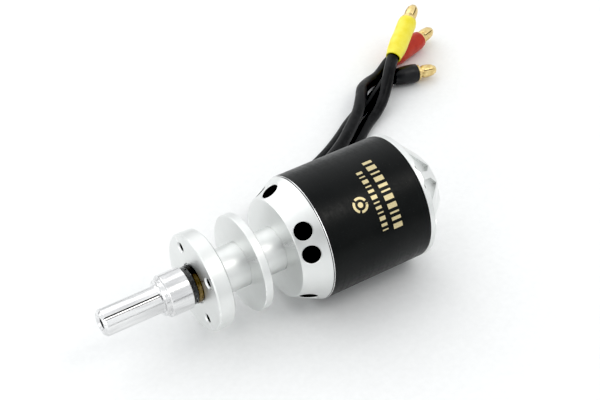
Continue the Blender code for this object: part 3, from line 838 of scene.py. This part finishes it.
def build_flange(mats):
    front, rear, radius = extent("mounting_flange")
    bore = extent("bearing_tube")[2] + FIT_GAP
    recess = 0.35
    recess_r = extent("shaft_spacer")[2] + 0.25
    outline = [
        (front + recess, 2.9, 0.1),
        (front + recess, recess_r, 0.05),
        (front, recess_r + 0.05, 0.12),
        (front, radius - 0.3, 0.08),
        (front + 0.3, radius, 0.08),
        (rear - 0.3, radius, 0.08),
        (rear, radius - 0.3, 0.08),
        (rear, bore, 0.03),
        (front + 0.9, bore),
        (front + 0.9, 2.9),
    ]
    cutters = bmesh.new()
    hole_r = 1.0
    thread_r = 0.96
    pitch_r = 7.9
    edge = 0.32
    shallow = 0.42
    depth = (rear - front) / 2 + 0.05
    centres = [polar(0, pitch_r, PATTERN_PHASE + 90.0 * i) for i in range(4)]
    for centre in centres:
        for x, way in ((front, -1), (rear, 1)):
            mouth = centre + Vector((x, 0, 0))
            drill(cutters, mouth, Vector((way, 0, 0)), hole_r, shallow, edge)
            drill(cutters, mouth, Vector((way, 0, 0)), thread_r, depth, 0.01)
    plate = lathe(
        "flange_plate",
        outline,
        mats["silver"],
        FIXED,
        "blasted_aluminium",
        "mounting_flange",
        cutters=cutters,
    )
    # The threaded bores below the countersinks take the near-black painted shade.
    plate.data.materials.append(mats["inside"])
    for face in plate.data.polygons:
        away = face.center / MM
        away.x = 0.0
        nearest = min((away - centre).length for centre in centres)
        face.material_index = int(nearest < thread_r + 0.03)


def build_tube(mats):
    front, rear, radius = extent("bearing_tube")
    seat_r = 4.15
    seat_depth = 3.35
    through_r = 3.2
    outline = [
        (front, seat_r),
        (front, radius, 0.1),
        (rear, radius, 0.1),
        (rear, seat_r),
        (rear - seat_depth, seat_r),
        (rear - seat_depth, through_r),
        (front + seat_depth, through_r),
        (front + seat_depth, seat_r),
    ]
    lathe("nose_tube", outline, mats["silver"], FIXED, "blasted_aluminium", "bearing_tube")


def build_disc(mats):
    front, rear, radius = extent("locating_disc")
    bore = extent("bearing_tube")[2] + FIT_GAP
    outline = [
        (front, bore, 0.03),
        (front, radius - 0.16, 0.05),
        (front + 0.16, radius, 0.05),
        (rear - 0.16, radius, 0.05),
        (rear, radius - 0.16, 0.05),
        (rear, bore, 0.03),
    ]
    lathe("register_disc", outline, mats["silver"], FIXED, "blasted_aluminium", "locating_disc")


def build_cover(mats):
    face, rear, rim_r = extent("front_cover")
    rim = extent("rotor_can")[0] - 0.15
    face_r = 11.1
    wall = 0.9
    plate = 1.4
    boss_r = 6.3
    bore = extent("bearing_tube")[2] + FIT_GAP
    outline = [
        (face, bore, 0.03),
        (face, face_r, 0.22),
        (rim - 0.15, rim_r, 0.12),
        (rim, rim_r - 0.05, 0.04),
        (rim, rim_r - wall),
        (face + plate, face_r - 0.7),
        (face + plate, boss_r),
        (rear, boss_r),
        (rear, bore),
    ]
    slope = Vector((rim - face, rim_r - face_r)).normalized()
    cutters = bmesh.new()
    vent_r = 1.95
    vent_x = 21.8
    vent_ring_r = 12.2
    vent_depth = 3.0
    vent_edge = 0.20
    surface_r = face_r + (vent_x - face) * slope.y / slope.x
    for pair in range(3):
        for side in (-1, 1):
            angle = PATTERN_PHASE + pair * 90.0 + side * VENT_SPREAD
            outward = polar(-slope.y, slope.x, angle)
            mouth = polar(vent_x, vent_ring_r, angle) + outward * (surface_r - vent_ring_r)
            drill(cutters, mouth, outward, vent_r, vent_depth, vent_edge)
    add_lead_window(cutters)
    cover = lathe(
        "nose_cover",
        outline,
        mats["silver"],
        FIXED,
        "blasted_aluminium",
        "front_cover",
        cutters=cutters,
    )
    # Faces more than 0.35 mm under the outer skin, inside the cover and down the vents and lead
    # window, take the near-black painted shade.
    cover.data.materials.append(mats["inside"])
    for polygon in cover.data.polygons:
        place = polygon.center / MM
        skin_r = face_r + (place.x - face) * slope.y / slope.x
        inner = math.hypot(place.y, place.z) < skin_r - 0.35
        polygon.material_index = int(inner and place.x > face + 0.3)


def add_lead_window(bm):
    """The round-ended window that the three leads pass through side by side."""
    out, along = lead_axes()
    end_r = LEAD_R + 0.45
    half = LEAD_PITCH + 0.1
    steps = 24
    # Each ring: its distance from the axis, and how much wider the window is there.
    flare = ((8.2, 0.0), (12.2, 0.0), (16.2, 2.2))
    rings = []
    for reach, grow in flare:
        spots = []
        for end in (-1, 1):
            for step in range(steps + 1):
                angle = math.radians(-90 + 180 * step / steps)
                across = Vector((WINDOW_X - end * math.sin(angle) * (end_r + grow), 0, 0))
                beside = along * end * (half + math.cos(angle) * (end_r + grow))
                spots.append(out * reach + across + beside)
        rings.append(spots)
    loft(bm, rings)


# ---------------- stator windings


def wire_path(low_x, high_x, half, corner):
    """A rounded rectangle: points (x, across), each with its outward normal."""
    points = []
    middle = (low_x + high_x) / 2
    corners = ((high_x, half, 0), (low_x, half, 90), (low_x, -half, 180), (high_x, -half, 270))
    for x, across, start in corners:
        centre_x = x - math.copysign(corner, x - middle)
        centre = Vector((centre_x, across - math.copysign(corner, across)))
        for step in range(6):
            angle = math.radians(start + 18 * step)
            normal = Vector((math.cos(angle), math.sin(angle)))
            points.append((centre + normal * corner, normal))
    return points


def build_windings(mats):
    """Four turns of round wire on each tooth."""
    wire_r = 0.29
    sides = 10
    turns = 4
    first_r = 7.35
    turn_pitch = 0.6
    half_tooth = 1.35
    corner = 0.6
    front = extent("coil_1")[0] + wire_r + 0.05
    rear = extent("coil_1")[1] - wire_r - 0.05
    path = wire_path(front, rear, half_tooth + wire_r, corner)
    for tooth in range(TEETH):
        node = f"coil_{tooth + 1}"
        turn = Matrix.Rotation(math.radians(360.0 * tooth / TEETH), 4, "X")
        bm = bmesh.new()
        for level in range(turns):
            middle_r = first_r + level * turn_pitch
            loops = []
            for point, normal in path:
                spots = []
                for side in range(sides):
                    angle = math.tau * side / sides
                    flat = point + normal * wire_r * math.cos(angle)
                    spot_r = middle_r + wire_r * math.sin(angle)
                    spots.append(bm.verts.new(turn @ Vector((flat.x, spot_r, flat.y))))
                loops.append(spots)
            for i in range(len(loops)):
                last, here = loops[i - 1], loops[i]
                for j in range(sides):
                    bm.faces.new((last[j - 1], last[j], here[j], here[j - 1]))
        name = f"winding_{tooth + 1}"
        add_piece(name, finish_mesh(bm, name, 60.0), mats["copper"], FIXED, "copper_wire", node)


# ---------------- rotor


def build_can(mats):
    """Builds the can, with uncoated metal along its front edge, and returns its radius."""
    front, rear, radius = extent("rotor_can")
    inner = radius - 0.9
    edge = 0.14
    outline = [
        (front, inner, 0.1),
        (front, radius - edge, 0.03),
        (front + edge, radius, 0.03),
        (rear - 0.08, radius, 0.05),
        (rear, radius - 0.08),
        (rear, inner),
    ]
    can = lathe("can_shell", outline, mats["can"], TURNING, "black_can", "rotor_can")
    can.data.materials.append(mats["bright"])
    for face in can.data.polygons:
        face.material_index = int(front + 0.03 < face.center.x / MM < front + edge - 0.03)
    return radius


def patch(bm, x0, x1, low, high, radius):
    """Adds a thin raised mark on the can between two stations and two angles."""
    thickness = 0.03
    sunk = 0.01
    steps = max(2, round((high - low) / 1.5))
    angles = [low + (high - low) * i / steps for i in range(steps + 1)]
    low_r = radius - sunk
    high_r = radius - sunk + thickness
    rim = [(x0, a) for a in angles] + [(x1, a) for a in reversed(angles)]
    prism(bm, [polar(x, low_r, a) for x, a in rim], [polar(x, high_r, a) for x, a in rim])


def build_print(mats, radius):
    """Plain marks in two rows and a ringed dot, with no lettering."""
    bm = bmesh.new()
    # Each row: its two stations, its first angle, the gap and the bars' widths in degrees.
    rows = (
        (40.8, 43.0, 91.5, 3.0, (3.0, 4.6, 1.6, 4.6, 3.0, 1.6, 4.6, 4.6, 1.6, 3.0, 4.6)),
        (38.1, 39.5, 99.0, 2.7, (2.6, 1.2, 3.6, 1.2, 2.6, 3.6, 1.2, 2.6, 1.2, 3.6, 2.6, 1.2)),
    )
    for x0, x1, angle, gap, widths in rows:
        for width in widths:
            patch(bm, x0, x1, angle, angle + width, radius)
            angle += width + gap
    add_emblem(bm, radius)
    add_piece("gold_marks", finish_mesh(bm, "gold_marks"), mats["print"], TURNING, "gold_plate")


def add_emblem(bm, radius):
    """A plain ring with a dot, laid on the can."""
    centre_x = 35.2
    centre_angle = 127.0
    per_mm = math.degrees(1 / radius)
    steps = 36
    low_r = radius - 0.01
    high_r = radius + 0.02

    def spot(distance, angle, r):
        degrees = centre_angle + distance * math.sin(angle) * per_mm
        return polar(centre_x + distance * math.cos(angle), r, degrees)

    for i in range(steps):
        first = math.tau * i / steps
        last = math.tau * (i + 1) / steps
        if i % 12 > 9:
            continue
        corners = [(1.75, first), (1.75, last), (1.2, last), (1.2, first)]
        prism(bm, [spot(d, a, low_r) for d, a in corners], [spot(d, a, high_r) for d, a in corners])
    dot = [(0.6, math.tau * i / 24) for i in range(24)]
    prism(bm, [spot(d, a, low_r) for d, a in dot], [spot(d, a, high_r) for d, a in dot])


def build_adapter(mats):
    """The stepped nose, with a tapped end and a groove along its barrel; the tapped bore and the
    groove's sides are painted dark as shade.
    """
    tip, rear, hub_r = extent("shaft_adapter")
    barrel_r = 2.95
    shoulder = -8.3
    collar_r = 3.95
    hub_front = -7.3
    tap_r = 1.3
    bore_end = -13.3
    tap_end = -16.7
    thread = []
    pitch = 0.5
    for turn in range(8):
        x = tip + 0.9 + turn * pitch
        thread += [(x, tap_r), (x + pitch / 2, tap_r - 0.14)]
    outline = [
        (tip, tap_r + 0.45, 0.05),
        (tip, 2.42, 0.06),
        (tip + 0.55, barrel_r, 0.12),
        (shoulder - 0.35, barrel_r, 0.25),
        (shoulder, barrel_r + 0.12, 0.05),
        (shoulder, collar_r - 0.2, 0.04),
        (shoulder + 0.2, collar_r, 0.04),
        (hub_front - 0.12, collar_r, 0.03),
        (hub_front, collar_r + 0.08),
        (hub_front, hub_r - 0.25, 0.05),
        (hub_front + 0.25, hub_r, 0.08),
        (rear - 0.22, hub_r, 0.08),
        (rear, hub_r - 0.22, 0.05),
        (rear, BORE_R, 0.06),
        (bore_end, BORE_R),
        (bore_end, 0.0),
        (tap_end + 0.6, 0.0),
        (tap_end, tap_r),
    ]
    outline += list(reversed(thread))
    outline.append((tip + 0.45, tap_r))
    cutters = bmesh.new()
    floor_r = 2.5
    floor_half = 0.12
    mouth_half = 0.36
    across = polar(0, 1, SLOT_ANGLE + 90)
    start = polar(tip - 1, floor_r, SLOT_ANGLE)
    rise = polar(0, barrel_r - floor_r, SLOT_ANGLE)
    run = Vector((shoulder - 0.3 - tip + 1, 0, 0))
    flank = [(floor_half, 0), (mouth_half, 1), (mouth_half, 3)]
    shape = flank + [(-aside, up) for aside, up in reversed(flank)]
    base = [start + across * aside + rise * up for aside, up in shape]
    prism(cutters, base, [p + run for p in base])
    mouth = polar(GRUB_X, hub_r, GRUB_ANGLE)
    drill(cutters, mouth, polar(0, 1, GRUB_ANGLE), GRUB_HOLE_R, GRUB_HOLE_DEPTH, 0.15)
    nose = lathe(
        "collet_nose",
        outline,
        mats["bright"],
        TURNING,
        "turned_aluminium",
        "shaft_adapter",
        segments=144,
        cutters=cutters,
    )
    # The tapped bore and the groove's slanted sides take dark steel as painted shade.
    nose.data.materials.append(mats["dark_steel"])
    for face in nose.data.polygons:
        place = face.center / MM
        radius = math.hypot(place.y, place.z)
        tapped = radius < tap_r + 0.02 and place.x > tip + 0.1
        groove = place.x < shoulder and radius < barrel_r - 0.03
        groove = groove and abs(place.dot(across)) < mouth_half
        slanted = abs(across.dot(face.normal)) > 0.5
        face.material_index = int(tapped or (groove and slanted))


def build_spacer(mats):
    front, rear, radius = extent("shaft_spacer")
    middle = (front + rear) / 2
    outline = [
        (front, BORE_R),
        (front, radius - 0.05, 0.2),
        (middle - 0.08, radius - 0.05, 0.06),
        (middle, radius - 0.16),
        (middle + 0.08, radius, 0.06),
        (rear, radius, 0.15),
        (rear, BORE_R),
    ]
    ring = lathe(
        "spacer_ring",
        outline,
        mats["gloss"],
        TURNING,
        "black_steel",
        "shaft_spacer",
        segments=144,
    )
    # The rear half takes the brass look, whose one-sided brass colour is a painted reflection.
    ring.data.materials.append(mats["brass"])
    for face in ring.data.polygons:
        face.material_index = int(face.center.x / MM > middle)


def build_shaft(mats):
    front, rear, radius = extent("shaft")
    outline = [
        (front, 0.0),
        (front, radius, 0.25),
        (rear - 0.3, radius, 0.08),
        (rear, radius - 0.3, 0.06),
        (rear, 0.55, 0.05),
        (rear - 0.5, 0.0),
    ]
    lathe("steel_shaft", outline, mats["steel"], TURNING, "ground_steel", "shaft", segments=MEDIUM)


# ---------------- rear bell


class Bell:
    """The bell's main stations, in millimetres."""

    front, top, rim_r = extent("rear_bell")
    rim = 51.1
    top_r = 10.0
    lip = 0.2
    hub_r = 4.6
    screw_x = 51.0
    can_rear = extent("rotor_can")[1]


def bell_point(rise, side, angle, depth=0.0):
    """A point on the cone: rise along the slope from the rim, side across an arm."""
    along = Vector((Bell.top - Bell.lip - Bell.rim, Bell.top_r - Bell.rim_r)).normalized()
    normal = Vector((-along.y, along.x))
    place = Vector((Bell.rim, Bell.rim_r)) + along * rise - normal * depth
    return polar(place.x, place.y, angle) + polar(0, side, angle + 90)


def add_arm_pockets(bm, angle):
    """Two scooped pockets beside an arm's ridge, each with a drilled corner."""
    depth = 0.9
    above = -2.5
    outline = [(0.8, 0.95), (3.7, 0.75), (5.9, 2.0), (0.8, 5.7)]
    rise, out = 0.8, 2.2
    hole_r, hole_depth, hole_edge = 0.6, 2.4, 0.08
    for side in (-1, 1):
        low = [bell_point(r, side * o, angle, depth) for r, o in outline]
        lift = bell_point(0, 0, angle, above) - bell_point(0, 0, angle, depth)
        prism(bm, low, [p + lift for p in low])
        mouth = bell_point(rise, side * out, angle, depth)
        drill(bm, mouth, lift, hole_r, hole_depth, hole_edge, 24)


def add_lobe_flats(bm, angle):
    """A flat on each shoulder of a lobe, which thins the top plate towards the windows."""
    lift = 3.0
    reach = 6.0
    for side in (-1, 1):
        inner = polar(Bell.top, 9.85, angle + side * 12.0)
        outer = polar(Bell.top, 8.95, angle + side * 40.0)
        foot = polar(Bell.rim + 0.3, Bell.rim_r, angle + side * 25.0)
        across = (outer - inner).normalized()
        middle = (inner + outer) / 2
        normal = across.cross(foot - middle).normalized()
        if normal.x < 0:
            normal = -normal
        down = foot - middle - across * across.dot(foot - middle)
        high = middle - down * 0.5
        low = middle + down * 1.3
        wide = across * reach
        corners = [high - wide, high + wide, low + wide, low - wide]
        prism(bm, corners, [p + normal * lift for p in corners])


def add_bell_window(bm, angle):
    """A rounded opening between two lobes, through the cone and the outer plate."""
    half = 21.5
    steps = 24
    middle_r = 11.2
    inner_window = (6.2, middle_r + 0.2, 46.0)
    outer_window = (middle_r, 15.5, Bell.rim + 0.1)
    for inner, outer, front in (inner_window, outer_window):
        spread = [angle - half + 2 * half * i / steps for i in range(steps + 1)]
        base = [polar(front, outer, a) for a in spread]
        base += [polar(front, inner, a) for a in reversed(spread)]
        run = Vector((Bell.top + 1 - front, 0, 0))
        prism(bm, base, [p + run for p in base])


def build_bell(mats):
    spigot_r = Bell.rim_r - 1.05
    spigot_front = 47.7
    hub_front = 48.6
    roof = 53.4
    inner_rim = 50.2
    joint = Bell.can_rear + 0.12
    outline = [
        (spigot_front, spigot_r - 1.0),
        (spigot_front, spigot_r, 0.1),
        (joint, spigot_r),
        (joint, Bell.rim_r, 0.12),
        (Bell.rim, Bell.rim_r, 0.12),
        (Bell.top - Bell.lip, Bell.top_r, 0.15),
        (Bell.top, Bell.top_r - 0.3, 0.06),
        (Bell.top, BORE_R, 0.15),
        (Bell.front, BORE_R),
        (Bell.front, 2.7),
        (hub_front, Bell.hub_r),
        (roof, Bell.hub_r),
        (roof, 8.2),
        (inner_rim, 11.4),
        (inner_rim, spigot_r - 1.0),
    ]
    windows = bmesh.new()
    flats = bmesh.new()
    pockets = bmesh.new()
    for arm in range(ARMS):
        angle = ARM_PHASE + arm * 360.0 / ARMS
        add_bell_window(windows, angle + 180.0 / ARMS)
        add_lobe_flats(flats, angle)
        add_arm_pockets(pockets, angle)
    screw_angle = ARM_PHASE - 180.0 / ARMS
    mouth = polar(Bell.screw_x, Bell.hub_r, screw_angle)
    drill(pockets, mouth, polar(0, 1, screw_angle), GRUB_HOLE_R, GRUB_HOLE_DEPTH, 0.15)
    mesh = finish_mesh(turned(outline, FINE), "spoked_bell")
    for cutters in (windows, flats, pockets):
        mesh = cut(mesh, cutters, "spoked_bell")
    add_piece("spoked_bell", mesh, mats["silver"], TURNING, "blasted_aluminium", "rear_bell")


# ---------------- CAD nodes that stay


def dress_cad_nodes(mats):
    """Gives each CAD node that stays in view its own material."""
    looks = {
        "stator_core": "core",
        "stator_insulator_front": "liner",
        "stator_insulator_rear": "liner",
        "adapter_grub_screw": "dark_steel",
        "bell_grub_screw": "dark_steel",
    }
    for end in ("front", "rear"):
        for part in ("outer_race", "inner_race", "ball_cage"):
            looks[f"{end}_bearing_{part}"] = "steel"
    for pole in range(6):
        looks[f"magnet_{pole + 1}"] = "magnet"
    for node, look in looks.items():
        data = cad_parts[node].data
        data.materials.clear()
        data.materials.append(mats[look])


def build():
    mats = make_materials()
    make_camera()
    build_leads(mats)
    make_studio(mats)
    build_flange(mats)
    build_tube(mats)
    build_disc(mats)
    build_cover(mats)
    build_windings(mats)
    build_print(mats, build_can(mats))
    build_adapter(mats)
    build_spacer(mats)
    build_shaft(mats)
    build_bell(mats)
    dress_cad_nodes(mats)


build()
